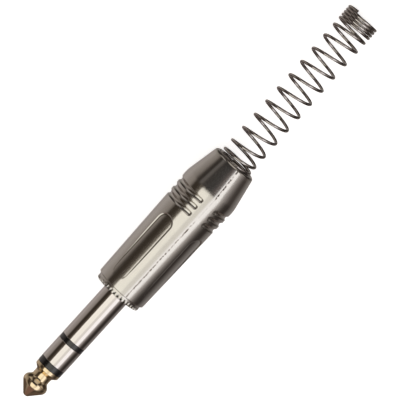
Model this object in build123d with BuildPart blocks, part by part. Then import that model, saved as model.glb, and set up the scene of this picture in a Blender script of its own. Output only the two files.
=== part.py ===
"""Stereo jack plug, 6.35 mm, with a metal shell and a spring cable guard. Sizes in mm.

The plug's axis is X, with the tip towards -X and the cable leaving towards +X. The origin is on the
axis at the shoulder, the front face of the knurled collar. The plug lies on its side, +Z up.
Angles about the axis run from +Y towards +Z.
"""

from build123d import *
from math import cos, pi, radians, sin, tan
import os

# Clearances between pieces
assembly_gap = 0.02
thread_gap = 0.05
tube_gap = 0.10
seat_gap = 0.10
mouth_gap = 0.22
strap_tube_gap = 0.15
strap_stack_gap = 0.1
finger_tube_gap = 0.5
lug_tube_gap = 0.45
seat_play = 0.3
coil_gap = 0.05

# Plug shaft, its contacts measured from the tip; the sleeve takes up the rest
plug_length = 30.5
shaft_r = 3.175
tip_length = 8.1
tip_band = 1.45
ring_length = 5.55
ring_band = 1.15
band_inset = 0.03
edge_break = 0.12

# Tip contact
tip_crest_inset = 0.125
tip_crest_width = 1.13
tip_nose_r = 0.5
tip_nose_round = 0.4
tip_cone_angle = 41.5
tip_back_angle = 46.0
tip_neck_r = 2.1
tip_collar_inset = 0.03
tip_collar_width = 0.85
tip_collar_slope = 0.45

# Nested tubes on the plug's axis
rod_r = 0.9
tip_tube_wall = 0.36
ring_tube_wall = 0.42
sleeve_tube_wall = 0.54

# Collar
thread_r = 4.9
thread_length = 6.0
thread_chamfer = 0.4
boss_wall = 1.3
relief_depth = 0.45
relief_width = 0.7
flange_step = 0.9
flange_width = 1.35
flange_chamfer = 0.3
knurl_teeth = 36
knurl_depth = 0.34

# Stack of lugs and washers behind the collar
sleeve_neck_r = 3.1
sleeve_lip = 0.6
front_washer = 1.0
rear_washer = 1.2
rear_washer_step = 0.4
ring_lip = 0.4
ring_lip_r = 2.15
rod_head = 0.6
rod_head_r = 1.5

# Solder lugs
lug_sheet = 0.5
lug_disc_step = 0.9
lug_width = 2.4
lug_tail = 6.0
lug_bend_round = 0.4
lug_end_round = 1.0
lug_hole_r = 0.65
lug_hole_inset = 1.6
ring_lug_angle = 0.0
tip_lug_angle = 180.0

# Cable clamp, turned so that the plug's weight hangs straight below its axis
clamp_sheet = 0.6
strap_length = 18.5
strap_angle = 70.0
finger_angle = 250.0
finger_width = 3.2
finger_pitch = 4.6
finger_count = 2
clamp_angle = 260.0

# Shell, its outside built up from the tapped bore and its places measured from the nose
shell_length = 37.55
front_wall = 1.25
front_chamfer = 0.2
shoulder_rise = 0.42
crest_rise = 0.2
grip_length = 5.52
crest_width = 1.51
nose_length = 7.87
nose_wall = 0.822
nose_chamfer = 0.4
mouth_depth = 2.3

# Grip grooves, broken where the halves of the mould met
parting_angle = 108.5
groove_count = 3
groove_inset = 0.7
groove_pitch = 1.9
groove_width = 1.0
groove_depth = 0.22
groove_land_angle = 30.0

# Thumb recesses
recess_count = 4
recess_depth = 0.35
recess_width = 4.15
recess_gap = 2.9

# Insulating tube
tube_setback = 0.65
tube_wall = 0.4

# Spring guard
wire_r = 0.35
seat_step = 0.63
guard_length = 42.89
open_pitch = 3.85
wide_turns = 2.0
narrowing_turns = 0.75
seat_turns = 6.0
seat_ramp_turns = 2.25
tail_ramp_turns = 2.6
tail_turns = 3.64
crossing_run = 18.69
spring_lean = 0.85
sag_radius = 270.0
wire_sides = 6
steps_per_turn = 12

# Radii of what fits together
tip_tube_in = rod_r + assembly_gap
tip_tube_out = tip_tube_in + tip_tube_wall
ring_tube_in = tip_tube_out + assembly_gap
ring_tube_out = ring_tube_in + ring_tube_wall
sleeve_tube_in = ring_tube_out + assembly_gap
sleeve_tube_out = sleeve_tube_in + sleeve_tube_wall
sleeve_bore = sleeve_tube_out + assembly_gap
band_r = shaft_r - band_inset
sleeve_press_r = thread_r - boss_wall
collar_bore = sleeve_press_r + assembly_gap
flange_r = thread_r + flange_step
shell_bore = thread_r + thread_gap
shell_front_r = shell_bore + front_wall
shell_shoulder_r = shell_front_r + shoulder_rise
shell_crest_r = shell_shoulder_r + crest_rise
tube_out = shell_bore - tube_gap
tube_in = tube_out - tube_wall
lug_reach = tube_in - lug_tube_gap
cable_r = tube_in - finger_tube_gap - clamp_sheet
strap_outside = tube_in - strap_tube_gap
strap_inside = strap_outside - clamp_sheet
stack_r = strap_inside - strap_stack_gap
rear_washer_r = stack_r - rear_washer_step
lug_disc_r = stack_r - lug_disc_step
seat_r = shell_bore - seat_gap
guard_r = seat_r - seat_step
mouth_r = guard_r + mouth_gap
nose_end_r = mouth_r + nose_wall

# Places along the axis
tip_rear = -plug_length + tip_length
ring_front = tip_rear + tip_band
ring_rear = ring_front + ring_length
ring_washer_rear = ring_rear + ring_band
thread_end = flange_width + thread_length
sleeve_lip_front = thread_end + clamp_sheet
sleeve_end = sleeve_lip_front + sleeve_lip
ring_lug_front = sleeve_end + front_washer
ring_lip_front = ring_lug_front + lug_sheet
ring_end = ring_lip_front + ring_lip
tip_lug_front = ring_end + rear_washer
rod_head_front = tip_lug_front + lug_sheet
shell_end = flange_width + shell_length
shell_crest_rear = shell_end - nose_length
shell_crest_front = shell_crest_rear - crest_width
shell_shoulder = shell_crest_front - grip_length
groove_first = shell_shoulder + groove_inset
recess_end = shell_shoulder - recess_gap
spring_seat = shell_end - mouth_depth
closed_pitch = 2 * wire_r + coil_gap
wire_start = spring_seat - seat_play - wire_r - wide_turns * closed_pitch
spring_end = shell_end + guard_length
crossing_x = shell_end + crossing_run
tube_front = sleeve_end + tube_setback
tube_rear = wire_start - wire_r - tube_gap


def outline(*corners):
    """Closed face of place along the axis against radius; a corner is (x, radius, rounding)."""
    with BuildSketch() as section:
        with BuildLine():
            FilletPolyline(
                *[(x, r) for x, r, _ in corners],
                radius=[rounding for _, _, rounding in corners],
                close=True,
            )
        make_face()
    return section.sketch


def ring_outline(front, rear, inner, outer):
    """Section of a plain ring or tube."""
    with BuildSketch() as section:
        with BuildLine():
            Polyline((front, inner), (front, outer), (rear, outer), (rear, inner), close=True)
        make_face()
    return section.sketch


def outward(angle):
    """Direction away from the plug's axis."""
    return Vector(0, cos(radians(angle)), sin(radians(angle)))


def axial_plane(angle):
    """Plane of the plug's axis and the outward direction."""
    return Plane(origin=(0, 0, 0), x_dir=(1, 0, 0), z_dir=Vector(1, 0, 0).cross(outward(angle)))


# Tip contact, turned in one piece with the rod that is riveted behind its lug
tip_crest_r = shaft_r - tip_crest_inset
tip_crest_front = -plug_length + (tip_crest_r - tip_nose_r) / tan(radians(tip_cone_angle))
tip_crest_rear = tip_crest_front + tip_crest_width
tip_neck = tip_crest_rear + (tip_crest_r - tip_neck_r) / tan(radians(tip_back_angle))
tip_collar_r = shaft_r - tip_collar_inset
tip_collar_front = tip_rear - tip_collar_width
rod_end = rod_head_front + rod_head
with BuildPart() as tip_contact:
    revolve(
        outline(
            (-plug_length, 0, 0),
            (-plug_length, tip_nose_r, tip_nose_round),
            (tip_crest_front, tip_crest_r, 0),
            (tip_crest_rear, tip_crest_r, 0),
            (tip_neck, tip_neck_r, 0),
            (tip_collar_front - tip_collar_slope, tip_neck_r, 0),
            (tip_collar_front, tip_collar_r, 0),
            (tip_rear - edge_break, tip_collar_r, 0),
            (tip_rear, tip_collar_r - edge_break, 0),
            (tip_rear, rod_r, 0),
            (rod_head_front, rod_r, 0),
            (rod_head_front, rod_head_r, 0),
            (rod_end, rod_head_r, 0),
            (rod_end, 0, 0),
        ),
        axis=Axis.X,
    )
tip_contact.part.label = "tip_contact"

# Insulating washer and tube between the tip and the ring
with BuildPart() as tip_washer:
    revolve(ring_outline(tip_rear, ring_front, tip_tube_in, band_r), axis=Axis.X)
tip_washer.part.label = "tip_washer"

with BuildPart() as tip_tube:
    revolve(ring_outline(ring_front, ring_end, tip_tube_in, tip_tube_out), axis=Axis.X)
tip_tube.part.label = "tip_tube"

# Ring contact, riveted behind its own lug
with BuildPart() as ring_contact:
    revolve(
        outline(
            (ring_front, ring_tube_in, 0),
            (ring_front, shaft_r - edge_break, 0),
            (ring_front + edge_break, shaft_r, 0),
            (ring_rear - edge_break, shaft_r, 0),
            (ring_rear, shaft_r - edge_break, 0),
            (ring_rear, ring_tube_out, 0),
            (ring_lip_front, ring_tube_out, 0),
            (ring_lip_front, ring_lip_r, 0),
            (ring_end, ring_tube_out, 0),
            (ring_end, ring_tube_in, 0),
        ),
        axis=Axis.X,
    )
ring_contact.part.label = "ring_contact"

# Insulating washer and tube between the ring and the sleeve
with BuildPart() as ring_washer:
    revolve(ring_outline(ring_rear, ring_washer_rear, sleeve_tube_in, band_r), axis=Axis.X)
ring_washer.part.label = "ring_washer"

with BuildPart() as ring_tube:
    revolve(ring_outline(ring_washer_rear, sleeve_end, sleeve_tube_in, sleeve_tube_out), axis=Axis.X)
ring_tube.part.label = "ring_tube"

# Sleeve contact, swaged over the cable clamp's plate
with BuildPart() as sleeve_contact:
    revolve(
        outline(
            (ring_washer_rear, sleeve_bore, 0),
            (ring_washer_rear, shaft_r - edge_break, 0),
            (ring_washer_rear + edge_break, shaft_r, 0),
            (0, shaft_r, 0),
            (0, sleeve_press_r, 0),
            (thread_end, sleeve_press_r, 0),
            (thread_end, sleeve_neck_r, 0),
            (sleeve_lip_front, sleeve_neck_r, 0),
            (sleeve_lip_front, stack_r, 0),
            (sleeve_end, sleeve_neck_r, 0),
            (sleeve_end, sleeve_bore, 0),
        ),
        axis=Axis.X,
    )
sleeve_contact.part.label = "sleeve_contact"

# Collar: a knurled flange, a relief and the boss that carries the thread
with BuildPart() as collar:
    revolve(
        outline(
            (0, collar_bore, 0),
            (0, flange_r - flange_chamfer, 0),
            (flange_chamfer, flange_r, 0),
            (flange_width, flange_r, 0),
            (flange_width, thread_r - relief_depth, 0),
            (flange_width + relief_width, thread_r - relief_depth, 0),
            (flange_width + relief_width, thread_r, 0),
            (thread_end - thread_chamfer, thread_r, 0),
            (thread_end, thread_r - thread_chamfer, 0),
            (thread_end, collar_bore, 0),
        ),
        axis=Axis.X,
    )
    with BuildSketch(Plane.YZ):
        with PolarLocations(flange_r, knurl_teeth):
            Rectangle(knurl_depth * 2**0.5, knurl_depth * 2**0.5, rotation=45)
    extrude(amount=flange_width, mode=Mode.SUBTRACT)
collar.part.label = "collar"

# Cable clamp: a plate round the sleeve, a curved strap, and bands of fingers crimped round the cable
strap_end = thread_end + strap_length
with BuildPart() as cable_clamp:
    revolve(
        ring_outline(thread_end, sleeve_lip_front, sleeve_neck_r + assembly_gap, strap_outside),
        axis=Axis.X,
    )
    with BuildSketch(axial_plane(clamp_angle - strap_angle / 2)):
        with Locations((sleeve_lip_front, strap_inside)):
            Rectangle(strap_end - sleeve_lip_front, clamp_sheet, align=(Align.MIN, Align.MIN))
    revolve(axis=Axis.X, revolution_arc=strap_angle)
    for finger in range(finger_count):
        finger_x = strap_end - finger_width / 2 - finger * finger_pitch
        with BuildSketch(axial_plane(clamp_angle - finger_angle / 2)):
            with Locations((finger_x, cable_r + clamp_sheet / 2)):
                Rectangle(finger_width, clamp_sheet)
        revolve(axis=Axis.X, revolution_arc=finger_angle)
cable_clamp.part.label = "cable_clamp"


def solder_lug(front, rod_radius, angle):
    """Sheet lug: a disc threaded on the stack and a tail bent back beside the cable."""
    side = outward(angle)
    tail_end = front + lug_tail
    lug_inside = lug_reach - lug_sheet
    with BuildPart() as lug:
        with BuildSketch(axial_plane(angle)):
            with BuildLine():
                FilletPolyline(
                    (front, 0),
                    (front, lug_reach),
                    (tail_end, lug_reach),
                    (tail_end, lug_inside),
                    (front + lug_sheet, lug_inside),
                    (front + lug_sheet, 0),
                    radius=[0, lug_bend_round + lug_sheet, 0, 0, lug_bend_round, 0],
                    close=True,
                )
            make_face()
        extrude(amount=lug_width / 2, both=True)
        with BuildSketch(Plane.YZ.offset(front)):
            Circle(lug_disc_r)
        extrude(amount=lug_sheet)
        with BuildSketch(Plane.YZ.offset(front)):
            Circle(rod_radius + assembly_gap)
        extrude(amount=lug_sheet, mode=Mode.SUBTRACT)
        tail_face = lug.faces().sort_by(Axis.X).last
        fillet(tail_face.edges().filter_by(Axis((0, 0, 0), side)), lug_end_round)
        hole_place = Vector(tail_end - lug_hole_inset, 0, 0) + side * lug_reach
        with Locations(Plane(origin=hole_place, x_dir=(1, 0, 0), z_dir=side)):
            Hole(lug_hole_r, depth=lug_sheet)
    return lug


# Solder lugs of the ring and the tip, on opposite sides
ring_lug = solder_lug(ring_lug_front, ring_tube_out, ring_lug_angle)
ring_lug.part.label = "ring_lug"

tip_lug = solder_lug(tip_lug_front, rod_r, tip_lug_angle)
tip_lug.part.label = "tip_lug"

# Insulating washers in front of each lug
with BuildPart() as lug_washer_front:
    revolve(ring_outline(sleeve_end, ring_lug_front, sleeve_tube_in, stack_r), axis=Axis.X)
lug_washer_front.part.label = "lug_washer_front"

with BuildPart() as lug_washer_rear:
    revolve(ring_outline(ring_end, tip_lug_front, tip_tube_in, rear_washer_r), axis=Axis.X)
lug_washer_rear.part.label = "lug_washer_rear"

# Insulating tube between the lugs and the shell
with BuildPart() as insulating_tube:
    revolve(ring_outline(tube_front, tube_rear, tube_in, tube_out), axis=Axis.X)
insulating_tube.part.label = "insulating_tube"

# Cutter for the thumb recesses, whose floor is a cylinder so that they fade out up the taper
with BuildPart() as thumb_recesses:
    for recess in range(recess_count):
        recess_angle = parting_angle + (recess + 0.5) * 360 / recess_count
        floor_plane = Plane(origin=(0, 0, 0), x_dir=(1, 0, 0), z_dir=outward(recess_angle))
        with BuildSketch(floor_plane):
            with Locations((recess_end - recess_width / 2, 0)):
                Circle(recess_width / 2)
            with Locations((flange_width, 0)):
                Rectangle(
                    recess_end - recess_width / 2 - flange_width,
                    recess_width,
                    align=(Align.MIN, Align.CENTER),
                )
        extrude(amount=shell_crest_r + groove_depth)
    revolve(
        ring_outline(0, shell_end, 0, shell_shoulder_r - recess_depth),
        axis=Axis.X,
        mode=Mode.SUBTRACT,
    )

# Shell, die-cast with a tapped bore, a waisted body and a tapered nose
nose_slope = (shell_crest_r - nose_end_r) / nose_length
groove_arc = 360 / 2 - groove_land_angle
with BuildPart() as shell:
    revolve(
        outline(
            (flange_width, shell_bore, 0),
            (flange_width, shell_front_r - front_chamfer, 0),
            (flange_width + front_chamfer, shell_front_r, 0),
            (shell_shoulder, shell_shoulder_r, 0),
            (shell_crest_front, shell_crest_r, 0),
            (shell_crest_rear, shell_crest_r, 0),
            (shell_end - nose_chamfer, nose_end_r + nose_chamfer * nose_slope, 0),
            (shell_end, nose_end_r - nose_chamfer, 0),
            (shell_end, mouth_r, 0),
            (spring_seat, mouth_r, 0),
            (spring_seat, shell_bore, 0),
        ),
        axis=Axis.X,
    )
    for groove in range(groove_count):
        groove_x = groove_first + groove * groove_pitch
        groove_top_r = shell_shoulder_r + (groove_x - shell_shoulder) * crest_rise / grip_length
        for half_turn in (0, 180):
            groove_start_angle = parting_angle + groove_land_angle / 2 + half_turn
            with BuildSketch(axial_plane(groove_start_angle)):
                with Locations((groove_x, groove_top_r)):
                    Rectangle(groove_width, 2 * groove_depth)
            revolve(axis=Axis.X, revolution_arc=groove_arc, mode=Mode.SUBTRACT)
    add(thumb_recesses.part, mode=Mode.SUBTRACT)
shell.part.label = "shell"

# Spring guard: wide closed coils held in the nose, open coils, then closed coils at the free end
seat_coil_r = seat_r - wire_r
guard_coil_r = guard_r - wire_r
wire_run = spring_end - wire_r - wire_start
ramp_turns = seat_ramp_turns + tail_ramp_turns
wound_turns = seat_turns + tail_turns + ramp_turns
open_turns = (
    wire_run - closed_pitch * wound_turns - (open_pitch - closed_pitch) * ramp_turns / 2
) / open_pitch
wire_turns = wound_turns + open_turns
opened_turn = seat_turns + seat_ramp_turns
opened_x = (
    wire_start + closed_pitch * opened_turn + (open_pitch - closed_pitch) * seat_ramp_turns / 2
)
closing_turn = wire_turns - tail_turns - tail_ramp_turns
crossing_turn = opened_turn + (crossing_x - opened_x) / open_pitch
guard_axis = Plane(
    origin=(shell_end, 0, 0),
    x_dir=(cos(radians(spring_lean)), sin(radians(spring_lean)), 0),
    z_dir=(0, 0, 1),
)


def ramp(turn, first, turns):
    """Share of a change that starts at one turn and is spread over some turns."""
    return min(max((turn - first) / turns, 0), 1)


def wire_place(turn, x):
    """Point on the middle of the wire, and its outward direction; the leaning axis sags in an arc."""
    narrowing = ramp(turn, wide_turns, narrowing_turns)
    coil_r = seat_coil_r + (guard_coil_r - seat_coil_r) * narrowing
    turned = 2 * pi * (turn - crossing_turn)
    sag = max(x - shell_end, 0) / sag_radius
    axis_run = min(x - shell_end, 0) + sag_radius * sin(sag)
    axis_drop = sag_radius * (1 - cos(sag))
    middle = Vector(axis_run, 0, -axis_drop)
    away = Vector(sin(turned) * sin(sag), cos(turned), sin(turned) * cos(sag))
    point = guard_axis.from_local_coords(middle + coil_r * away)
    return point, (point - guard_axis.from_local_coords(middle)).normalized()


wire_steps = round(wire_turns * steps_per_turn)
turn_step = wire_turns / wire_steps
wire_points = []
wire_x = wire_start
for step in range(wire_steps + 1):
    turn = step * turn_step
    wire_points.append(wire_place(turn, wire_x))
    opening = ramp(turn + turn_step / 2, seat_turns, seat_ramp_turns)
    closing = ramp(turn + turn_step / 2, closing_turn, tail_ramp_turns)
    wire_x += turn_step * (closed_pitch + (open_pitch - closed_pitch) * (opening - closing))

with BuildPart() as spring_guard:
    for step, (point, away) in enumerate(wire_points):
        before = wire_points[max(step - 1, 0)][0]
        after = wire_points[min(step + 1, wire_steps)][0]
        with BuildSketch(Plane(origin=point, x_dir=away, z_dir=after - before)):
            RegularPolygon(wire_r, wire_sides)
    loft(ruled=True)
spring_guard.part.label = "spring_guard"

# One file for each piece
os.makedirs("parts", exist_ok=True)
export_step(tip_contact.part, "parts/tip_contact.step")
export_step(tip_washer.part, "parts/tip_washer.step")
export_step(tip_tube.part, "parts/tip_tube.step")
export_step(ring_contact.part, "parts/ring_contact.step")
export_step(ring_washer.part, "parts/ring_washer.step")
export_step(ring_tube.part, "parts/ring_tube.step")
export_step(sleeve_contact.part, "parts/sleeve_contact.step")
export_step(collar.part, "parts/collar.step")
export_step(cable_clamp.part, "parts/cable_clamp.step")
export_step(lug_washer_front.part, "parts/lug_washer_front.step")
export_step(ring_lug.part, "parts/ring_lug.step")
export_step(lug_washer_rear.part, "parts/lug_washer_rear.step")
export_step(tip_lug.part, "parts/tip_lug.step")
export_step(insulating_tube.part, "parts/insulating_tube.step")
export_step(shell.part, "parts/shell.step")
export_step(spring_guard.part, "parts/spring_guard.step")
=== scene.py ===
from math import cos, pi, radians, sin, tan

import bmesh
import bpy
from mathutils import Matrix, Vector


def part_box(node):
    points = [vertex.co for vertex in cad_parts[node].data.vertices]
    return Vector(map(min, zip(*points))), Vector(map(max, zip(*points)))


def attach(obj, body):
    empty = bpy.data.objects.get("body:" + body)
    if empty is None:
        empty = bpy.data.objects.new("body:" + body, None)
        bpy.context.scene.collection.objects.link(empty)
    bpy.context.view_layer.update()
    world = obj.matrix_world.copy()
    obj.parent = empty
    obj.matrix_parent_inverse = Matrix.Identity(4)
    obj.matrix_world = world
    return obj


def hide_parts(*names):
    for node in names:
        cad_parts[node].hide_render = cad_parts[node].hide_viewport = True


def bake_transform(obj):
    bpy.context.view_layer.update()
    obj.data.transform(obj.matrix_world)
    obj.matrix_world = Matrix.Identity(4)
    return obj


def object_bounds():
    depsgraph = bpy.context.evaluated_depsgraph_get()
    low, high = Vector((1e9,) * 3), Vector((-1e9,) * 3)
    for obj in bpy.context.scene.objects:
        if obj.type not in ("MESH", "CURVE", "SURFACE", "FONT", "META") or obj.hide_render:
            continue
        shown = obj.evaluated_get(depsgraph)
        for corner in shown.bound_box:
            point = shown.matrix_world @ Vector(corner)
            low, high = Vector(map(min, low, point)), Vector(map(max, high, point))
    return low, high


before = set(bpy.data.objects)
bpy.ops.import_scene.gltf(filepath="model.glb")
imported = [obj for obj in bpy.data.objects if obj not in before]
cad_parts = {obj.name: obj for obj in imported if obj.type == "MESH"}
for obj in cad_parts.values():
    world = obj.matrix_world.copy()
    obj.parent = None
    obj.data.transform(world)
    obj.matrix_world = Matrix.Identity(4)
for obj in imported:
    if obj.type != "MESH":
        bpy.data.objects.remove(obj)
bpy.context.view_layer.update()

# The plug's axis is X, with the tip towards -X and the cable end towards +X; Z is up. Shapes are
# worked out in millimetres and scaled to Blender's metres when a mesh is made. Angles about the axis
# run from +Y towards +Z, as in the CAD model.
MM = 0.001
AXIS = Vector((1, 0, 0))
CENTRE = Vector((0, 0, 0))
FULL_TURN = 2 * pi


def along(node):
    """Front and rear of a CAD node along the axis, in mm."""
    low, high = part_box(node)
    return low.x / MM, high.x / MM


def radius_of(node):
    """Largest radius of a CAD node about the axis, in mm."""
    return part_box(node)[1].z / MM


# Places along the axis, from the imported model
tip_front, rod_end = along("tip_contact")
tip_rear, ring_front = along("tip_washer")
ring_rear, sleeve_front = along("ring_washer")
ring_end = along("ring_contact")[1]
sleeve_end = along("sleeve_contact")[1]
collar_front, thread_end = along("collar")
shell_front, shell_end = along("shell")
spring_front = along("spring_guard")[0]

# Radii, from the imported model
shaft_r = radius_of("ring_contact")
band_r = radius_of("tip_washer")

# Sizes inside the plug that the boxes don't give, as in the CAD model
rod_r = 0.9
rod_head_r = 1.5
rod_head = 0.6
tip_tube_in = 0.92
ring_tube_in = 1.3
ring_tube_out = 1.72
sleeve_tube_in = 1.74
ring_lip = 0.4
ring_lip_r = 2.15
sleeve_bore = 2.3
sleeve_press_r = 3.6
sleeve_neck_r = 3.1
clamp_sheet = 0.6

# Collar and its thread
collar_bore = 3.62
flange_r = 5.76
knurl_teeth = 36
knurl_depth = 0.5
knurl_run = 0.85
knurl_fade = 1.1
thread_crest_r = 4.88
thread_root_r = 4.42
thread_pitch = 0.75
thread_flank = 0.3
thread_land = 0.1
thread_lead_in = 0.75
thread_run_out = 0.1
boss_chamfer = 0.15
boss_overlap = 0.2

# Shell
shell_bore = 4.95
shell_front_r = 6.23
shell_shoulder = 24.0
shell_shoulder_r = 6.64
crest_corner = 30.75
crest_corner_r = 6.875
nose_end_r = 5.262
mouth_r = 4.44
mouth_depth = 2.3
parting_angle = 108.5
groove_count = 3
groove_first = 24.7
groove_pitch = 1.9
groove_half = 0.7
groove_depth = 0.36
groove_floor_r = 0.68
groove_wall_angle = radians(58)
groove_lip = 0.02
groove_lip_slope = 0.35
groove_land_angle = 27.0
recess_count = 4
recess_floor_r = 6.27
recess_wall_r = 0.5
recess_wall_degrees = 60
recess_width = 4.4
recess_front = 3.0
recess_end = 21.45

# How far the cutters for grooves and recesses stand out of the shell, and a groove's flare up there
recess_cutter_height = 1.2
groove_cutter_height = 0.5
groove_cutter_flare = 0.06

# Fineness of the meshes
SPIN_STEPS = 192
SHELL_STEPS = 240
GROOVE_STEPS = 90
RECESS_STEPS = 64
RECESS_STRIPS = 12
THREAD_STEPS_A_TURN = 72
WIRE_STEPS_A_TURN = 40
ROUNDING_STEPS = 6
DOUBLES = 0.0005


def put_in_scene(name, data):
    """Object that holds a mesh, curve, light or camera, linked to the scene."""
    made = bpy.data.objects.new(name, data)
    bpy.context.scene.collection.objects.link(made)
    return made


def shade(mesh, sharp_degrees):
    """Smooth shading, with edges sharper than the angle kept crisp."""
    mesh.shade_smooth()
    mesh.set_sharp_from_angle(angle=radians(sharp_degrees))


def finish_mesh(shape, name, sharp_degrees=32):
    """Object from a bmesh in mm, with its doubles merged and its faces pointing outwards."""
    bmesh.ops.remove_doubles(shape, verts=shape.verts[:], dist=DOUBLES)
    bmesh.ops.recalc_face_normals(shape, faces=shape.faces[:])
    bmesh.ops.scale(shape, vec=(MM, MM, MM), verts=shape.verts[:])
    mesh = bpy.data.meshes.new(name)
    shape.to_mesh(mesh)
    shape.free()
    shade(mesh, sharp_degrees)
    return put_in_scene(name, mesh)


def final_mesh(source, name):
    """Mesh that an object gives with its modifiers or wire thickness applied. The object goes."""
    graph = bpy.context.evaluated_depsgraph_get()
    mesh = bpy.data.meshes.new_from_object(source.evaluated_get(graph))
    bpy.data.objects.remove(source)
    mesh.name = name
    return mesh


def add_mesh(target, part):
    """Adds one bmesh to another and frees it."""
    mesh = bpy.data.meshes.new("part")
    part.to_mesh(mesh)
    part.free()
    target.from_mesh(mesh)
    bpy.data.meshes.remove(mesh)


def draw_profile(shape, corners, longest=None):
    """Closed line through (place along the axis, radius, rounding) corners, open on the axis itself.
    Edges are cut into runs no longer than the longest one given."""
    corner_verts = [shape.verts.new((x, 0, r)) for x, r, _ in corners]
    for first, second in zip(corner_verts, corner_verts[1:] + corner_verts[:1]):
        if first.co.z > 0 or second.co.z > 0:
            shape.edges.new((first, second))
    for vert, (_, _, rounding) in zip(corner_verts, corners):
        if rounding:
            bmesh.ops.bevel(
                shape,
                geom=[vert],
                offset=rounding,
                offset_type="OFFSET",
                segments=ROUNDING_STEPS,
                profile=0.5,
                affect="VERTICES",
                material=-1,
            )
    if longest:
        for edge in shape.edges[:]:
            cuts = int(edge.calc_length() / longest)
            if cuts:
                bmesh.ops.subdivide_edges(shape, edges=[edge], cuts=cuts)


def turn_profile(shape, steps):
    """Spins everything in the bmesh once round the axis."""
    bmesh.ops.spin(
        shape,
        geom=shape.verts[:] + shape.edges[:],
        cent=CENTRE,
        axis=AXIS,
        angle=FULL_TURN,
        steps=steps,
        use_merge=True,
    )


def turned(name, corners):
    """Piece turned about the plug's axis from its corners."""
    shape = bmesh.new()
    draw_profile(shape, corners)
    turn_profile(shape, SPIN_STEPS)
    return finish_mesh(shape, name)


def place(piece, body, node, material):
    """Puts a new piece in the place of its CAD node."""
    piece.data.materials.append(material)
    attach(piece, body)
    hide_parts(node)


# Materials


def linear(code):
    """Linear colour from an sRGB hex code."""
    parts = [int(code[i : i + 2], 16) / 255 for i in (1, 3, 5)]
    return [p / 12.92 if p <= 0.04045 else ((p + 0.055) / 1.055) ** 2.4 for p in parts] + [1.0]


def new_material(name):
    """Empty node material and its tree."""
    material = bpy.data.materials.new(name)
    material.use_nodes = True
    material.node_tree.nodes.clear()
    return material, material.node_tree


def add(tree, kind, settings=None, links=None):
    """Node with its settings, each by the name or number of an input, or a property's name, and its
    links, each from a socket, or from a node's first output. A Mix node has its colours at inputs 6 and
    7 and at output 2."""
    node = tree.nodes.new(kind)
    for name, value in (settings or {}).items():
        if isinstance(name, int) or name in node.inputs:
            node.inputs[name].default_value = value
        else:
            setattr(node, name, value)
    for name, source in (links or {}).items():
        socket = source.outputs[0] if isinstance(source, bpy.types.Node) else source
        tree.links.new(socket, node.inputs[name])
    return node


def set_stops(ramp, stops):
    """Gives a colour ramp its stops, each a place from 0 to 1 and an sRGB hex code."""
    elements = ramp.color_ramp.elements
    while len(elements) < len(stops):
        elements.new(0.5)
    for element, (at, code) in zip(elements, stops):
        element.position = at
        element.color = linear(code)


def millimetres(tree):
    """Place on the piece in millimetres, for the patterns. A noise of scale 4 on it gives spots of
    about a quarter of a millimetre."""
    place_m = add(tree, "ShaderNodeTexCoord").outputs["Object"]
    return add(tree, "ShaderNodeMapping", {"Scale": (1 / MM, 1 / MM, 1 / MM)}, {"Vector": place_m})


def gold_plate():
    """Gold plate over turned brass: polished, with the lathe's fine rings left under the plate. The
    rings are about 0.14 mm apart, coarser than real ones, so that they show."""
    material, tree = new_material("gold_plate")
    place_mm = millimetres(tree)
    rings = add(tree, "ShaderNodeMapping", {"Scale": (7, 0.15, 0.15)}, {"Vector": place_mm})
    ring_noise = add(tree, "ShaderNodeTexNoise", {"Scale": 1.0, "Detail": 2.0}, {"Vector": rings})
    cloud = add(tree, "ShaderNodeTexNoise", {"Scale": 0.9, "Detail": 4.0}, {"Vector": place_mm})
    colour = add(tree, "ShaderNodeValToRGB", {}, {"Fac": cloud})
    set_stops(colour, ((0, "#E6D3AC"), (1, "#F0DCBC")))
    rough = add(tree, "ShaderNodeMapRange", {"To Min": 0.08, "To Max": 0.17}, {"Value": cloud})
    bump = add(
        tree, "ShaderNodeBump", {"Strength": 0.25, "Distance": 0.01 * MM}, {"Height": ring_noise}
    )
    shader = add(
        tree, "ShaderNodeBsdfPrincipled", {"Metallic": 1.0},
        {"Base Color": colour, "Roughness": rough, "Normal": bump},
    )
    add(tree, "ShaderNodeOutputMaterial", {}, {"Surface": shader})
    return material


def polished_nickel():
    """Nickel plate over turned brass, polished bright, with fingermarks a few millimetres across and
    faint rings about 0.2 mm apart, coarser than real ones, so that they show."""
    material, tree = new_material("polished_nickel")
    place_mm = millimetres(tree)
    rings = add(tree, "ShaderNodeMapping", {"Scale": (5, 0.1, 0.1)}, {"Vector": place_mm})
    ring_noise = add(tree, "ShaderNodeTexNoise", {"Scale": 1.0, "Detail": 2.0}, {"Vector": rings})
    marks = add(tree, "ShaderNodeTexNoise", {"Scale": 0.5, "Detail": 5.0}, {"Vector": place_mm})
    rough = add(tree, "ShaderNodeMapRange", {"To Min": 0.05, "To Max": 0.14}, {"Value": marks})
    bump = add(
        tree, "ShaderNodeBump", {"Strength": 0.12, "Distance": 0.01 * MM}, {"Height": ring_noise}
    )
    shader = add(
        tree, "ShaderNodeBsdfPrincipled", {"Metallic": 1.0, "Base Color": linear("#DDD9D5")},
        {"Roughness": rough, "Normal": bump},
    )
    add(tree, "ShaderNodeOutputMaterial", {}, {"Surface": shader})
    return material


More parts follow.
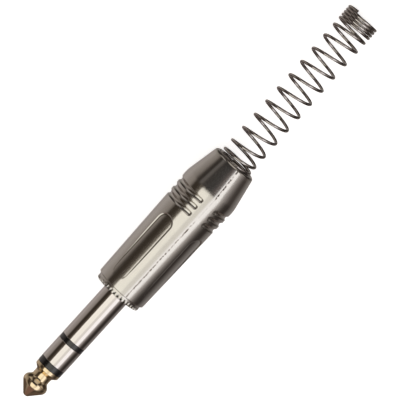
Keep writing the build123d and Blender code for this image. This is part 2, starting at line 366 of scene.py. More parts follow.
def pearly_sheen(tree, place_mm):
    """Grain, colour, roughness and bump of nickel plate that was barrel polished to a pearly sheen. It
    still shows a soft grain of about 0.3 mm and a ripple of about 3 mm."""
    grain = add(tree, "ShaderNodeTexNoise", {"Scale": 3.5, "Detail": 3.0}, {"Vector": place_mm})
    ripple = add(tree, "ShaderNodeTexNoise", {"Scale": 0.35, "Detail": 2.0}, {"Vector": place_mm})
    rough = add(tree, "ShaderNodeMapRange", {"To Min": 0.15, "To Max": 0.2}, {"Value": grain})
    colour = add(tree, "ShaderNodeValToRGB", {}, {"Fac": ripple})
    set_stops(colour, ((0, "#D0CEC8"), (1, "#D8D6D0")))
    soft = add(tree, "ShaderNodeBump", {"Strength": 0.35, "Distance": 0.03 * MM}, {"Height": ripple})
    fine = add(
        tree, "ShaderNodeBump", {"Strength": 0.08, "Distance": 0.01 * MM},
        {"Height": grain, "Normal": soft},
    )
    return grain, colour, rough, fine


def die_cast_nickel():
    """Nickel plate over the die-cast shell, with the fine wandering line where the halves of the mould
    met. Polishing broke the line, and buffing took it away round the grip grooves."""
    material, tree = new_material("satin_nickel_body")
    place_mm = millimetres(tree)
    grain, colour, rough, fine = pearly_sheen(tree, place_mm)
    side = radians(parting_angle)
    off_line = add(
        tree, "ShaderNodeVectorMath", {"operation": "DOT_PRODUCT", 1: (0, -sin(side), cos(side))},
        {0: place_mm},
    )
    wander = add(tree, "ShaderNodeMapRange", {"To Min": -0.07, "To Max": 0.07}, {"Value": grain})
    wandered = add(
        tree, "ShaderNodeMath", {"operation": "ADD"}, {0: off_line.outputs["Value"], 1: wander}
    )
    offset = add(tree, "ShaderNodeMath", {"operation": "ABSOLUTE"}, {0: wandered})
    edge = add(
        tree, "ShaderNodeMapRange",
        {"From Min": 0.05, "From Max": 0.2, "To Min": 1.0, "To Max": 0.0}, {"Value": offset},
    )
    dashes = add(tree, "ShaderNodeTexNoise", {"Scale": 1.5, "Detail": 2.0}, {"Vector": place_mm})
    unpolished = add(
        tree, "ShaderNodeMapRange",
        {"From Min": 0.4, "From Max": 0.6, "To Min": 0.05, "To Max": 1.0}, {"Value": dashes},
    )
    place_parts = add(tree, "ShaderNodeSeparateXYZ", {}, {"Vector": place_mm})
    before_grip = add(
        tree, "ShaderNodeMapRange",
        {"From Min": 22.6, "From Max": 24.2, "To Min": 1.0, "To Max": 0.12},
        {"Value": place_parts.outputs["X"]},
    )
    after_grip = add(
        tree, "ShaderNodeMapRange", {"From Min": 30.4, "From Max": 31.4},
        {"Value": place_parts.outputs["X"]},
    )
    unbuffed = add(tree, "ShaderNodeMath", {"operation": "MAXIMUM"}, {0: before_grip, 1: after_grip})
    broken = add(tree, "ShaderNodeMath", {"operation": "MULTIPLY"}, {0: edge, 1: unpolished})
    line = add(tree, "ShaderNodeMath", {"operation": "MULTIPLY"}, {0: broken, 1: unbuffed})
    lined = add(
        tree, "ShaderNodeMix", {"data_type": "RGBA", 7: linear("#5F534B")}, {0: line, 6: colour}
    )
    ridge = add(
        tree, "ShaderNodeBump", {"Strength": 0.6, "Distance": 0.05 * MM},
        {"Height": line, "Normal": fine},
    )
    shader = add(
        tree, "ShaderNodeBsdfPrincipled", {"Metallic": 1.0},
        {"Base Color": lined.outputs[2], "Roughness": rough, "Normal": ridge},
    )
    add(tree, "ShaderNodeOutputMaterial", {}, {"Surface": shader})
    return material


def knurled_nickel():
    """Nickel plate over the turned collar, with painted shade darkening the gaps between the teeth of
    its knurl.
    """
    material, tree = new_material("satin_nickel_collar")
    place_mm = millimetres(tree)
    _, colour, rough, fine = pearly_sheen(tree, place_mm)
    off_axis = add(tree, "ShaderNodeVectorMath", {"operation": "MULTIPLY", 1: (0, 1, 1)}, {0: place_mm})
    radius = add(tree, "ShaderNodeVectorMath", {"operation": "LENGTH"}, {0: off_axis})
    # Painted shade: the colour goes dark (#35302D) down in the gaps between the knurl's teeth, standing
    # in for the shade that falls there
    valley = add(
        tree, "ShaderNodeMapRange",
        {"From Min": flange_r - 0.3, "From Max": flange_r - 0.08, "To Min": 1.0, "To Max": 0.0},
        {"Value": radius.outputs["Value"]},
    )
    place_parts = add(tree, "ShaderNodeSeparateXYZ", {}, {"Vector": place_mm})
    on_knurl = add(
        tree, "ShaderNodeMapRange",
        {"From Min": knurl_run, "From Max": knurl_run + 0.05, "To Min": 1.0, "To Max": 0.0},
        {"Value": place_parts.outputs["X"]},
    )
    behind_face = add(
        tree, "ShaderNodeMapRange", {"From Min": collar_front + 0.02, "From Max": collar_front + 0.06},
        {"Value": place_parts.outputs["X"]},
    )
    between_teeth = add(tree, "ShaderNodeMath", {"operation": "MULTIPLY"}, {0: valley, 1: on_knurl})
    gap_shade = add(
        tree, "ShaderNodeMath", {"operation": "MULTIPLY"}, {0: between_teeth, 1: behind_face}
    )
    gap_shaded_colour = add(
        tree, "ShaderNodeMix", {"data_type": "RGBA", 7: linear("#35302D")}, {0: gap_shade, 6: colour}
    )
    shader = add(
        tree, "ShaderNodeBsdfPrincipled", {"Metallic": 1.0},
        {"Base Color": gap_shaded_colour.outputs[2], "Roughness": rough, "Normal": fine},
    )
    add(tree, "ShaderNodeOutputMaterial", {}, {"Surface": shader})
    return material


def nickel_wire():
    """Spring wire drawn through a die and nickel plated, bright with faint cloudy marks of about the
    wire's own thickness."""
    material, tree = new_material("nickel_wire")
    place_mm = millimetres(tree)
    cloud = add(tree, "ShaderNodeTexNoise", {"Scale": 1.6, "Detail": 3.0}, {"Vector": place_mm})
    rough = add(tree, "ShaderNodeMapRange", {"To Min": 0.03, "To Max": 0.08}, {"Value": cloud})
    bump = add(tree, "ShaderNodeBump", {"Strength": 0.1, "Distance": 0.01 * MM}, {"Height": cloud})
    shader = add(
        tree, "ShaderNodeBsdfPrincipled", {"Metallic": 1.0, "Base Color": linear("#BDB8B4")},
        {"Roughness": rough, "Normal": bump},
    )
    add(tree, "ShaderNodeOutputMaterial", {}, {"Surface": shader})
    return material


def tinned_brass():
    """Dull tin plate on rolled and pressed brass sheet, cloudy in patches of about a millimetre."""
    material, tree = new_material("tinned_brass")
    place_mm = millimetres(tree)
    cloud = add(tree, "ShaderNodeTexNoise", {"Scale": 1.2, "Detail": 5.0}, {"Vector": place_mm})
    rough = add(tree, "ShaderNodeMapRange", {"To Min": 0.32, "To Max": 0.5}, {"Value": cloud})
    shader = add(
        tree, "ShaderNodeBsdfPrincipled", {"Metallic": 1.0, "Base Color": linear("#C9C6BF")},
        {"Roughness": rough},
    )
    add(tree, "ShaderNodeOutputMaterial", {}, {"Surface": shader})
    return material


def black_insulator():
    """Moulded black plastic, turned flush with the contacts, so it has a half gloss and a grain of
    about a quarter of a millimetre."""
    material, tree = new_material("black_insulator")
    place_mm = millimetres(tree)
    grain = add(tree, "ShaderNodeTexNoise", {"Scale": 4.0, "Detail": 3.0}, {"Vector": place_mm})
    colour = add(tree, "ShaderNodeValToRGB", {}, {"Fac": grain})
    set_stops(colour, ((0, "#0B0A0C"), (1, "#151416")))
    bump = add(tree, "ShaderNodeBump", {"Strength": 0.3, "Distance": 0.01 * MM}, {"Height": grain})
    shader = add(
        tree, "ShaderNodeBsdfPrincipled",
        {"Roughness": 0.24, "IOR": 1.55, "Coat Weight": 0.6, "Coat Roughness": 0.12},
        {"Base Color": colour, "Normal": bump},
    )
    add(tree, "ShaderNodeOutputMaterial", {}, {"Surface": shader})
    return material


def vulcanised_fibre():
    """Red-brown vulcanised fibre, punched from sheet, dull with a felted grain of about 0.2 mm."""
    material, tree = new_material("vulcanised_fibre")
    place_mm = millimetres(tree)
    felt = add(tree, "ShaderNodeTexNoise", {"Scale": 5.0, "Detail": 6.0}, {"Vector": place_mm})
    colour = add(tree, "ShaderNodeValToRGB", {}, {"Fac": felt})
    set_stops(colour, ((0, "#7A2F1E"), (1, "#A04A30")))
    bump = add(tree, "ShaderNodeBump", {"Strength": 0.4, "Distance": 0.02 * MM}, {"Height": felt})
    shader = add(
        tree, "ShaderNodeBsdfPrincipled", {"Roughness": 0.7}, {"Base Color": colour, "Normal": bump}
    )
    add(tree, "ShaderNodeOutputMaterial", {}, {"Surface": shader})
    return material


def clear_sleeving():
    """Extruded clear plastic tube, slightly hazy in patches of about a millimetre."""
    material, tree = new_material("clear_sleeving")
    place_mm = millimetres(tree)
    haze = add(tree, "ShaderNodeTexNoise", {"Scale": 0.8, "Detail": 3.0}, {"Vector": place_mm})
    rough = add(tree, "ShaderNodeMapRange", {"To Min": 0.12, "To Max": 0.3}, {"Value": haze})
    shader = add(
        tree, "ShaderNodeBsdfPrincipled",
        {"Base Color": linear("#E9ECE9"), "IOR": 1.46, "Transmission Weight": 0.85},
        {"Roughness": rough},
    )
    add(tree, "ShaderNodeOutputMaterial", {}, {"Surface": shader})
    return material


gold = gold_plate()
bright_nickel = polished_nickel()
body_nickel = die_cast_nickel()
collar_nickel = knurled_nickel()
wire_nickel = nickel_wire()
tin = tinned_brass()
black_plastic = black_insulator()
fibre = vulcanised_fibre()
sleeving = clear_sleeving()

# Tip contact: a cone, a rounded crest, the neck that the socket's spring catches and a rim
tip_cone = tan(radians(41.5))
tip_back = tan(radians(46))
tip_point_r = 0.5
tip_crest_r = 3.588
tip_neck_r = 2.1
tip_neck_end = tip_rear - 1.65
tip_rim = tip_rear - 0.85
tip_rim_r = band_r - 0.05
tip_crest = tip_front + (tip_crest_r - tip_point_r) / tip_cone
tip_neck = tip_crest + (tip_crest_r - tip_neck_r) / tip_back
place(
    turned(
        "plug_tip",
        [
            (tip_front, 0, 0),
            (tip_front, tip_point_r, 0.3),
            (tip_crest, tip_crest_r, 1.26),
            (tip_neck, tip_neck_r, 0.34),
            (tip_neck_end, tip_neck_r, 0.25),
            (tip_rim, tip_rim_r, 0.15),
            (tip_rear, tip_rim_r, 0.1),
            (tip_rear, rod_r, 0),
            (rod_end - rod_head, rod_r, 0),
            (rod_end - rod_head, rod_head_r, 0),
            (rod_end, rod_head_r, 0.35),
            (rod_end, 0, 0),
        ],
    ),
    "plug", "tip_contact", gold,
)

# Black bands
for name, node, front, rear, bore in (
    ("tip_band", "tip_washer", tip_rear, ring_front, tip_tube_in),
    ("ring_band", "ring_washer", ring_rear, sleeve_front, sleeve_tube_in),
):
    corners = [(front, bore, 0), (front, band_r, 0.05), (rear, band_r, 0.05), (rear, bore, 0)]
    place(turned(name, corners), "plug", node, black_plastic)

# Ring contact with the tube that carries it back to its lug
place(
    turned(
        "plug_ring",
        [
            (ring_front, ring_tube_in, 0),
            (ring_front, shaft_r, 0.12),
            (ring_rear, shaft_r, 0.12),
            (ring_rear, ring_tube_out, 0),
            (ring_end - ring_lip, ring_tube_out, 0),
            (ring_end - ring_lip, ring_lip_r, 0.1),
            (ring_end, ring_tube_out, 0),
            (ring_end, ring_tube_in, 0),
        ],
    ),
    "plug", "ring_contact", bright_nickel,
)

# Sleeve contact, swaged over the clamp's plate
place(
    turned(
        "plug_sleeve",
        [
            (sleeve_front, sleeve_bore, 0),
            (sleeve_front, shaft_r, 0.12),
            (collar_front, shaft_r, 0),
            (collar_front, sleeve_press_r, 0),
            (thread_end, sleeve_press_r, 0),
            (thread_end, sleeve_neck_r, 0),
            (thread_end + clamp_sheet, sleeve_neck_r, 0),
            (thread_end + clamp_sheet, sleeve_press_r, 0.15),
            (sleeve_end, sleeve_neck_r, 0.1),
            (sleeve_end, sleeve_bore, 0),
        ],
    ),
    "plug", "sleeve_contact", bright_nickel,
)


def knurled_flange():
    """Flange whose front edge is knurled, made of one tooth repeated. The teeth run out into the plain
    rim behind them. A cut is a share of the half pitch with its share of the knurl's depth, and a
    section is a place along the axis with its chamfer."""
    shape = bmesh.new()
    half_pitch = pi / knurl_teeth
    cuts = ((0, 0), (0.4, 0.06), (0.6, 0.3), (0.8, 0.75), (1, 1))
    sections = (
        (collar_front, 0.16),
        (collar_front + 0.08, 0.05),
        (collar_front + 0.2, 0),
        (collar_front + 0.5, 0),
        (collar_front + knurl_run, 0),
        (shell_front - 0.1, 0),
        (shell_front, 0.1),
    )
    shares = [-share for share, _ in cuts[:0:-1]] + [share for share, _ in cuts]
    outline = [(share * half_pitch, flange_r) for share in shares]
    outline += [(half_pitch, collar_bore), (0, collar_bore), (-half_pitch, collar_bore)]
    end = shape.faces.new([shape.verts.new((0, sin(a) * r, cos(a) * r)) for a, r in outline])
    bmesh.ops.translate(shape, verts=end.verts[:], vec=(collar_front, 0, 0))
    for (x, _), (before, _) in zip(sections[1:], sections):
        made = bmesh.ops.extrude_face_region(shape, geom=[end], use_keep_orig=False)
        moved = [v for v in made["geom"] if isinstance(v, bmesh.types.BMVert)]
        bmesh.ops.translate(shape, verts=moved, vec=(x - before, 0, 0))
        end = next(f for f in made["geom"] if isinstance(f, bmesh.types.BMFace))
    for vert in shape.verts:
        r = (vert.co.y**2 + vert.co.z**2) ** 0.5
        if r < (collar_bore + flange_r) / 2:
            continue
        chamfer = min(sections, key=lambda section: abs(section[0] - vert.co.x))[1]
        share = abs(vert.co.y / vert.co.z) / tan(half_pitch)
        cut = min(cuts, key=lambda pair: abs(pair[0] - share))[1]
        fading = min(max(knurl_fade * (1 - (vert.co.x - collar_front) / knurl_run), 0), 1)
        wanted = flange_r - chamfer - knurl_depth * cut * fading
        vert.co.y *= wanted / r
        vert.co.z *= wanted / r
    near = 0.001
    sides = [
        f for f in shape.faces
        if abs(f.normal.x) < 0.1
        and all(abs(abs(v.co.y / v.co.z) - tan(half_pitch)) < near for v in f.verts)
    ]
    bmesh.ops.delete(shape, geom=sides, context="FACES_ONLY")
    bmesh.ops.spin(
        shape,
        geom=shape.verts[:] + shape.edges[:] + shape.faces[:],
        cent=CENTRE,
        axis=AXIS,
        angle=FULL_TURN - 2 * half_pitch,
        steps=knurl_teeth - 1,
        use_duplicate=True,
    )
    bmesh.ops.remove_doubles(shape, verts=shape.verts[:], dist=near)
    return shape


def threaded_boss():
    """Boss behind the flange, with the ridge of a right-handed thread wound round it."""
    boss = bmesh.new()
    boss_front = shell_front - boss_overlap
    draw_profile(
        boss,
        [
            (boss_front, collar_bore, 0),
            (boss_front, thread_root_r, 0),
            (thread_end - boss_chamfer, thread_root_r, 0),
            (thread_end, thread_root_r - boss_chamfer, 0),
            (thread_end, collar_bore, 0),
        ],
    )
    turn_profile(boss, SPIN_STEPS)
    thread_front = shell_front + thread_lead_in
    thread_foot_r = thread_root_r - 0.1
    thread_turns = (thread_end - thread_run_out - thread_front) / thread_pitch - 1
    ridge = [
        (thread_front, thread_foot_r),
        (thread_front + thread_flank, thread_crest_r),
        (thread_front + thread_flank + thread_land, thread_crest_r),
        (thread_front + 2 * thread_flank + thread_land, thread_foot_r),
    ]
    face = boss.faces.new([boss.verts.new((x, 0, r)) for x, r in ridge])
    steps = round(thread_turns * THREAD_STEPS_A_TURN)
    bmesh.ops.spin(
        boss,
        geom=[face, *face.verts[:], *face.edges[:]],
        cent=CENTRE,
        axis=AXIS,
        dvec=(thread_pitch / THREAD_STEPS_A_TURN, 0, 0),
        angle=steps * FULL_TURN / THREAD_STEPS_A_TURN,
        steps=steps,
    )
    return boss


def collar_piece():
    """Knurled flange on its threaded boss."""
    shape = knurled_flange()
    add_mesh(shape, threaded_boss())
    return finish_mesh(shape, "knurled_collar", sharp_degrees=28)


place(collar_piece(), "plug", "collar", collar_nickel)


def groove_height(off):
    """Height of a groove's section above the shell's surface at a distance from its middle: a round
    floor, and beside it a slope that comes up out of the surface."""
    floor = groove_floor_r - groove_depth
    floor_half = groove_floor_r * sin(groove_wall_angle)
    if off < floor_half:
        return floor - (groove_floor_r**2 - off**2) ** 0.5
    rim = floor - groove_floor_r * cos(groove_wall_angle)
    return rim + (off - floor_half + groove_lip) * groove_lip_slope


def round_end(ring, face, middle, surface_r, end_angle, way):
    """Closes a groove's cutter with a rounded end."""
    narrow = 1.0
    for degrees in (20, 40, 58, 74):
        made = bmesh.ops.extrude_face_region(ring, geom=[face])
        bmesh.ops.delete(ring, geom=[face], context="FACES_ONLY")
        face = next(f for f in made["geom"] if isinstance(f, bmesh.types.BMFace))
        before, narrow = narrow, cos(radians(degrees))
        run = groove_half * sin(radians(degrees))
        angle = end_angle + way * run / surface_r
        for vert in face.verts:
            r = (vert.co.y**2 + vert.co.z**2) ** 0.5
            off = (vert.co.x - middle) * narrow / before
            if r < surface_r + groove_cutter_height / 2:
                r = surface_r + groove_height(min((off**2 + run**2) ** 0.5, groove_half))
            vert.co = (middle + off, r * cos(angle), r * sin(angle))


def recess_cutter(turn):
    """Cutter for one thumb recess: a long slot with round ends and walls that curve up from its floor.
    It is drawn flat, cut into strips, and bent round the axis at the end."""
    slot = bmesh.new()
    floor_half = recess_width / 2 - recess_wall_r * sin(radians(recess_wall_degrees))
    rear_centre = recess_end - recess_width / 2
    front_centre = recess_front + recess_width / 2
    bmesh.ops.create_circle(slot, cap_ends=True, radius=floor_half, segments=RECESS_STEPS)
    for vert in slot.verts:
        vert.co.x += rear_centre if vert.co.x > 0 else front_centre
    for cut in range(1 - RECESS_STRIPS, RECESS_STRIPS):
        bmesh.ops.bisect_plane(
            slot,
            geom=slot.verts[:] + slot.edges[:] + slot.faces[:],
            plane_co=(0, cut * floor_half / RECESS_STRIPS, 0),
            plane_no=(0, 1, 0),
        )
    wall = []
    for degrees in range(10, recess_wall_degrees + 1, 10):
        height = recess_wall_r * (1 - cos(radians(degrees)))
        wall.append((height, recess_wall_r * sin(radians(degrees))))
    wall.append((recess_cutter_height, recess_wall_r))
    region = slot.faces[:]
    spread = 1.0
    for height, out in wall:
        made = bmesh.ops.extrude_face_region(slot, geom=region)
        if spread > 1:
            bmesh.ops.delete(slot, geom=region, context="FACES")
        region = [f for f in made["geom"] if isinstance(f, bmesh.types.BMFace)]
        before, spread = spread, 1 + out / floor_half
        for vert in [v for v in made["geom"] if isinstance(v, bmesh.types.BMVert)]:
            near = rear_centre if vert.co.x > (rear_centre + front_centre) / 2 else front_centre
            if vert.co.x > rear_centre or vert.co.x < front_centre:
                vert.co.x = near + (vert.co.x - near) * spread / before
            vert.co.y *= spread / before
            vert.co.z = height
    for vert in slot.verts:
        r = recess_floor_r + vert.co.z
        angle = turn + vert.co.y / recess_floor_r
        vert.co.y = r * cos(angle)
        vert.co.z = r * sin(angle)
    return slot


def groove_cutter(middle, start, arc):
    """Cutter for one half of a grip groove, with a rounded floor and rounded ends."""
    widening = (crest_corner_r - shell_shoulder_r) / (crest_corner - shell_shoulder)
    surface_r = shell_shoulder_r + (middle - shell_shoulder) * widening
    ring = bmesh.new()
    offs = (0, 0.14, 0.28, 0.42, 0.55, 0.63, groove_half)
    section = [(-off, surface_r + groove_height(off)) for off in offs[:0:-1]]
    section += [(off, surface_r + groove_height(off)) for off in offs]
    top = surface_r + groove_cutter_height
    flared = groove_half + groove_cutter_flare
    section += [(flared, top), (-flared, top)]
    first = ring.faces.new(
        [ring.verts.new((middle + off, r * cos(start), r * sin(start))) for off, r in section]
    )
    made = bmesh.ops.spin(
        ring,
        geom=[first, *first.verts[:], *first.edges[:]],
        cent=CENTRE,
        axis=AXIS,
        angle=arc,
        steps=GROOVE_STEPS,
    )
    last = next(f for f in made["geom_last"] if isinstance(f, bmesh.types.BMFace))
    round_end(ring, first, middle, surface_r, start, -1)
    round_end(ring, last, middle, surface_r, start + arc, 1)
    return ring


def shell_cutters():
    """Thumb recesses and grip grooves as one mesh to cut from the shell."""
    parts = []
    for recess in range(recess_count):
        turn = radians(parting_angle + (recess + 0.5) * 360 / recess_count)
        parts.append(recess_cutter(turn))
    end_run = groove_half / shell_shoulder_r
    for groove in range(groove_count):
        for half in range(2):
            start = radians(parting_angle + groove_land_angle / 2) + half * pi + end_run
            arc = pi - radians(groove_land_angle) - 2 * end_run
            parts.append(groove_cutter(groove_first + groove * groove_pitch, start, arc))
    cutters = bmesh.new()
    for part in parts:
        bmesh.ops.recalc_face_normals(part, faces=part.faces[:])
        add_mesh(cutters, part)
    return finish_mesh(cutters, "shell_cutters")


def shell_piece():
    """Die-cast shell: a waisted body with cut recesses and grooves, and a tapered nose."""
    shape = bmesh.new()
    draw_profile(
        shape,
        [
            (shell_front, shell_bore, 0.12),
            (shell_front, shell_front_r, 0.18),
            (shell_shoulder, shell_shoulder_r, 0.5),
            (crest_corner, crest_corner_r, 0.9),
            (shell_end, nose_end_r, 0.55),
            (shell_end, mouth_r, 0.25),
            (shell_end - mouth_depth, mouth_r, 0.1),
            (shell_end - mouth_depth, shell_bore, 0),
        ],
        longest=0.8,
    )
    turn_profile(shape, SHELL_STEPS)
    body = finish_mesh(shape, "shell_blank")
    cutters = shell_cutters()
    cut = body.modifiers.new("cut", "BOOLEAN")
    cut.operation = "DIFFERENCE"
    cut.solver = "EXACT"
    cut.object = cutters
    mesh = final_mesh(body, "shell_body")
    bpy.data.objects.remove(cutters)
    shade(mesh, sharp_degrees=22)
    return put_in_scene("shell_body", mesh)


place(shell_piece(), "shell", "shell", body_nickel)

# Spring guard, wound as in the CAD model but from round wire
wire_r = 0.35
coil_gap = 0.05
seat_r = 4.85
guard_r = 4.22
closed_pitch = 2 * wire_r + coil_gap
open_pitch = 3.85
wide_turns = 2.0
narrowing_turns = 0.75
seat_turns = 6.0
seat_ramp_turns = 2.25
tail_ramp_turns = 2.6
tail_turns = 3.64
crossing_run = 18.69
guard_length = 42.89
sag_radius = 270.0
spring_lean = radians(0.85)
wire_start = spring_front + wire_r


def ramp_share(turn, first, turns):
    """Share of a change that starts at one turn and is spread over some turns."""
    return min(max((turn - first) / turns, 0), 1)


def spring_piece():
    """Coil spring of round wire on an axis that leans a little and sags in an arc from the mouth."""
    seat_coil_r = seat_r - wire_r
    guard_coil_r = guard_r - wire_r
    wire_end = shell_end + guard_length - wire_r
    ramp_turns = seat_ramp_turns + tail_ramp_turns
    wound_turns = seat_turns + tail_turns + ramp_turns
    open_run = wire_end - wire_start - closed_pitch * wound_turns
    open_turns = (open_run - (open_pitch - closed_pitch) * ramp_turns / 2) / open_pitch
    turns = wound_turns + open_turns
    opened_turn = seat_turns + seat_ramp_turns
    opened_x = (
        wire_start + closed_pitch * opened_turn + (open_pitch - closed_pitch) * seat_ramp_turns / 2
    )
    closing_turn = turns - tail_turns - tail_ramp_turns
    crossing_turn = opened_turn + (shell_end + crossing_run - opened_x) / open_pitch
    steps = round(turns * WIRE_STEPS_A_TURN)
    step_turns = turns / steps
    points = []
    x = wire_start
    for step in range(steps + 1):
        turn = step * step_turns
        narrowing = ramp_share(turn, wide_turns, narrowing_turns)
        coil_r = seat_coil_r + (guard_coil_r - seat_coil_r) * narrowing
        turned_by = FULL_TURN * (turn - crossing_turn)
        sag = max(x - shell_end, 0) / sag_radius
        axis_run = min(x - shell_end, 0) + sag_radius * sin(sag)
        axis_drop = sag_radius * (1 - cos(sag))
        away = Vector((sin(turned_by) * sin(sag), cos(turned_by), sin(turned_by) * cos(sag)))
        point = Vector((axis_run, 0, -axis_drop)) + coil_r * away
        point.rotate(Matrix.Rotation(spring_lean, 3, "Z"))
        points.append(point + Vector((shell_end, 0, 0)))
        opening = ramp_share(turn + step_turns / 2, seat_turns, seat_ramp_turns)
        closing = ramp_share(turn + step_turns / 2, closing_turn, tail_ramp_turns)
        x += step_turns * (closed_pitch + (open_pitch - closed_pitch) * (opening - closing))
    curve = bpy.data.curves.new("spring_wire", "CURVE")
    curve.dimensions = "3D"
    curve.bevel_depth = wire_r * MM
    curve.bevel_resolution = 6
    curve.use_fill_caps = True
    line = curve.splines.new("POLY")
    line.points.add(len(points) - 1)
    for spline_point, point in zip(line.points, points):
        spline_point.co = (*(point * MM), 1)
    mesh = final_mesh(put_in_scene("spring_wire", curve), "coil_spring")
    shade(mesh, sharp_degrees=50)
    return put_in_scene("coil_spring", mesh)


spring = spring_piece()
spring.data.materials.append(wire_nickel)
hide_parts("spring_guard")
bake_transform(spring)

# Finishes of the CAD pieces that stay
for node, material in (
    ("tip_tube", black_plastic),
    ("ring_tube", black_plastic),
    ("cable_clamp", tin),
    ("ring_lug", tin),
    ("tip_lug", tin),
    ("lug_washer_front", fibre),
    ("lug_washer_rear", fibre),
    ("insulating_tube", sleeving),
):
    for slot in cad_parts[node].material_slots:
        slot.material = material

# Floor: a plain white sheet just under the plug
floor_half = 1.5
floor_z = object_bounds()[0].z - 0.02 * MM
shape = bmesh.new()
bmesh.ops.create_grid(shape, x_segments=1, y_segments=1, size=floor_half)
bmesh.ops.translate(shape, verts=shape.verts[:], vec=(0, 0, floor_z))
mesh = bpy.data.meshes.new("floor")
shape.to_mesh(mesh)
shape.free()
floor = put_in_scene("floor", mesh)
material, tree = new_material("white_sheet")
shader = add(
    tree, "ShaderNodeBsdfPrincipled",
    {"Base Color": linear("#FFFFFF"), "Roughness": 0.9, "Emission Color": linear("#FFFFFF"),
     "Emission Strength": 0.75},
)
add(tree, "ShaderNodeOutputMaterial", {}, {"Surface": shader})
floor.data.materials.append(material)
floor.visible_glossy = False

# Camera, far off and looking down on the plug from a little towards the cable end, with the plug's
# axis along the photo's diagonal
aim = Vector((0.02763, 0.00029, 0))
distance = 2.4
view_tilt = radians(7.4)
axis_in_view = radians(47.77)
view_width = 0.0877
back = Vector((sin(view_tilt), 0, cos(view_tilt)))
flat_axis = (AXIS - back * AXIS.dot(back)).normalized()
flat_side = back.cross(flat_axis)
right = flat_axis * cos(axis_in_view) - flat_side * sin(axis_in_view)
up = flat_axis * sin(axis_in_view) + flat_side * cos(axis_in_view)
camera_data = bpy.data.cameras.new("camera")
camera_data.sensor_width = 36
camera_data.lens = camera_data.sensor_width * distance / view_width
camera_data.clip_start = 0.1
camera_data.clip_end = 10
camera = put_in_scene("camera", camera_data)
camera.location = aim + distance * back
camera.rotation_mode = "QUATERNION"
camera.rotation_quaternion = Matrix((right, up, back)).transposed().to_quaternion()
bpy.context.scene.camera = camera

# Light: three long soft boxes side by side above the plug, in a room that is dark round the boxes,
# bright beside the cool one and grey below. Angles are in degrees, measured at the plug from straight
# up, towards -Y.
box_height = 0.9


def soft_box(name, side_from, side_to, front, rear, colour, brightness):
    """Rectangular area light that fills the angles given, facing down. Its power makes it as bright as
    a surface that gives off light of that strength."""
    light = bpy.data.lights.new(name, "AREA")
    light.shape = "RECTANGLE"
    near = -box_height * tan(radians(side_from))
    far = -box_height * tan(radians(side_to))
    light.size = rear - front
    light.size_y = near - far
    light.color = linear(colour)[:3]
    light.energy = brightness * pi * light.size * light.size_y
    lamp = put_in_scene(name, light)
    lamp.location = ((front + rear) / 2, (near + far) / 2, box_height)


soft_box("warm_soft_box", -29, 9, -2.2, 0.1, "#FFFBF2", 1.17)
soft_box("middle_soft_box", 9, 28, -2.2, 0.1, "#FFFAF3", 0.9)
soft_box("cool_soft_box", 28, 54, -2.2, 0.9, "#FFFCFD", 1.24)

# Tones of the room's walls round the plug, on the tip's side and on the cable's side
tip_wall_stops = (
    (-180, "#A9A29F"),
    (-138, "#ADA5A2"),
    (-123, "#B9B0AC"),
    (-108, "#AFA7A3"),
    (-93, "#A29994"),
    (-80, "#9A918B"),
    (-74, "#8C837D"),
    (-64, "#3A322A"),
    (-46, "#3A322A"),
    (-29, "#756B61"),
    (-20, "#38322C"),
    (27, "#38322C"),
    (53, "#443E3C"),
    (55, "#E0DAD6"),
    (60, "#BAB2AF"),
    (66, "#9D9592"),
    (72, "#7A7370"),
    (81, "#554E4B"),
    (90, "#3A3431"),
    (104, "#37312E"),
    (111, "#4B4543"),
    (118, "#6C6663"),
    (131, "#817B79"),
    (148, "#958F8C"),
    (180, "#A9A29F"),
)
cable_wall_stops = (
    (-180, "#8F8A87"),
    (-121, "#959089"),
    (-90, "#8F8782"),
    (-81, "#7E7671"),
    (-73, "#4A433F"),
    (-65, "#2F2926"),
    (-58, "#38332F"),
    (-50, "#75706E"),
    (-43, "#68625F"),
    (-35, "#383433"),
    (-10, "#383535"),
    (5, "#3F3B3C"),
    (13, "#574F4D"),
    (22, "#7C7271"),
    (28, "#443E3C"),
    (53, "#443E3C"),
    (55, "#D0CAC8"),
    (63, "#B0A8A6"),
    (71, "#9A9290"),
    (80, "#7C7472"),
    (88, "#675F5C"),
    (97, "#544C49"),
    (107, "#5E5652"),
    (119, "#6F6762"),
    (150, "#66605C"),
    (180, "#8F8A87"),
)


def walls(tree, angle_share, stops):
    """Walls whose tone depends on the angle round the plug's axis, from -180 to 180 degrees."""
    tones = add(tree, "ShaderNodeValToRGB", {}, {"Fac": angle_share})
    set_stops(tones, [((degrees + 180) / 360, code) for degrees, code in stops])
    return tones


def part_of_room(tree, before, code, limits):
    """Paints one part of the room over what was there before. Each limit is a direction's measure with
    the values where the part begins and where it is full, and all the limits have to hold."""
    share = None
    for measure, begins, full in limits:
        limit = add(
            tree, "ShaderNodeMapRange", {"From Min": begins, "From Max": full}, {"Value": measure}
        )
        if share is not None:
            limit = add(tree, "ShaderNodeMath", {"operation": "MULTIPLY"}, {0: share, 1: limit})
        share = limit
    painted = add(
        tree, "ShaderNodeMix", {"data_type": "RGBA", 7: linear(code)}, {0: share, 6: before}
    )
    return painted.outputs[2]


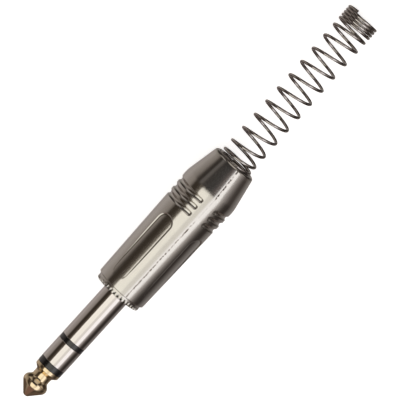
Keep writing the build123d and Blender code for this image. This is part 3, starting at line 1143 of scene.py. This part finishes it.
world = bpy.data.worlds.new("studio")
bpy.context.scene.world = world
world.use_nodes = True
tree = world.node_tree
tree.nodes.clear()
direction = add(tree, "ShaderNodeTexCoord").outputs["Generated"]
direction_parts = add(tree, "ShaderNodeSeparateXYZ", {}, {"Vector": direction})
along_x = direction_parts.outputs["X"]
upwards = direction_parts.outputs["Z"]
to_side = add(
    tree, "ShaderNodeMath", {"operation": "MULTIPLY", 1: -1.0}, {0: direction_parts.outputs["Y"]}
)
off_y = add(tree, "ShaderNodeMath", {"operation": "ABSOLUTE"}, {0: to_side})
angle = add(tree, "ShaderNodeMath", {"operation": "ARCTAN2"}, {0: to_side, 1: upwards})
angle_share = add(tree, "ShaderNodeMapRange", {"From Min": -pi, "From Max": pi}, {"Value": angle})
cable_share = add(tree, "ShaderNodeMapRange", {"From Min": 0.06, "From Max": 0.2}, {"Value": along_x})
tip_walls = walls(tree, angle_share, tip_wall_stops)
cable_walls = walls(tree, angle_share, cable_wall_stops)
both_walls = add(
    tree, "ShaderNodeMix", {"data_type": "RGBA"}, {0: cable_share, 6: tip_walls, 7: cable_walls}
)
room = both_walls.outputs[2]

# Painted over the walls: the end behind the cable, the floor at both ends, pale walls beside the cable's
# end and a window at it, and the end behind the tip
above_floor = (upwards, -0.2, -0.05)
low_down = (upwards, 0, -0.25)
for code, limits in (
    ("#3C3633", [(along_x, 0.38, 0.55)]),
    ("#38322F", [low_down, (along_x, 0.3, 0.5)]),
    ("#5C514C", [low_down, (along_x, -0.3, -0.5)]),
    ("#B8B0AB", [above_floor, (along_x, 0.45, 0.6), (off_y, 0.5, 0.62)]),
    ("#C4BCB4", [above_floor, (along_x, 0.7, 0.78), (off_y, 0.35, 0.2)]),
    ("#7A6360", [(along_x, -0.93, -0.97)]),
):
    room = part_of_room(tree, room, code, limits)
background = add(tree, "ShaderNodeBackground", {"Strength": 1.0}, {"Color": room})
add(tree, "ShaderNodeOutputWorld", {}, {"Surface": background})

bpy.context.scene.view_settings.view_transform = "Standard"
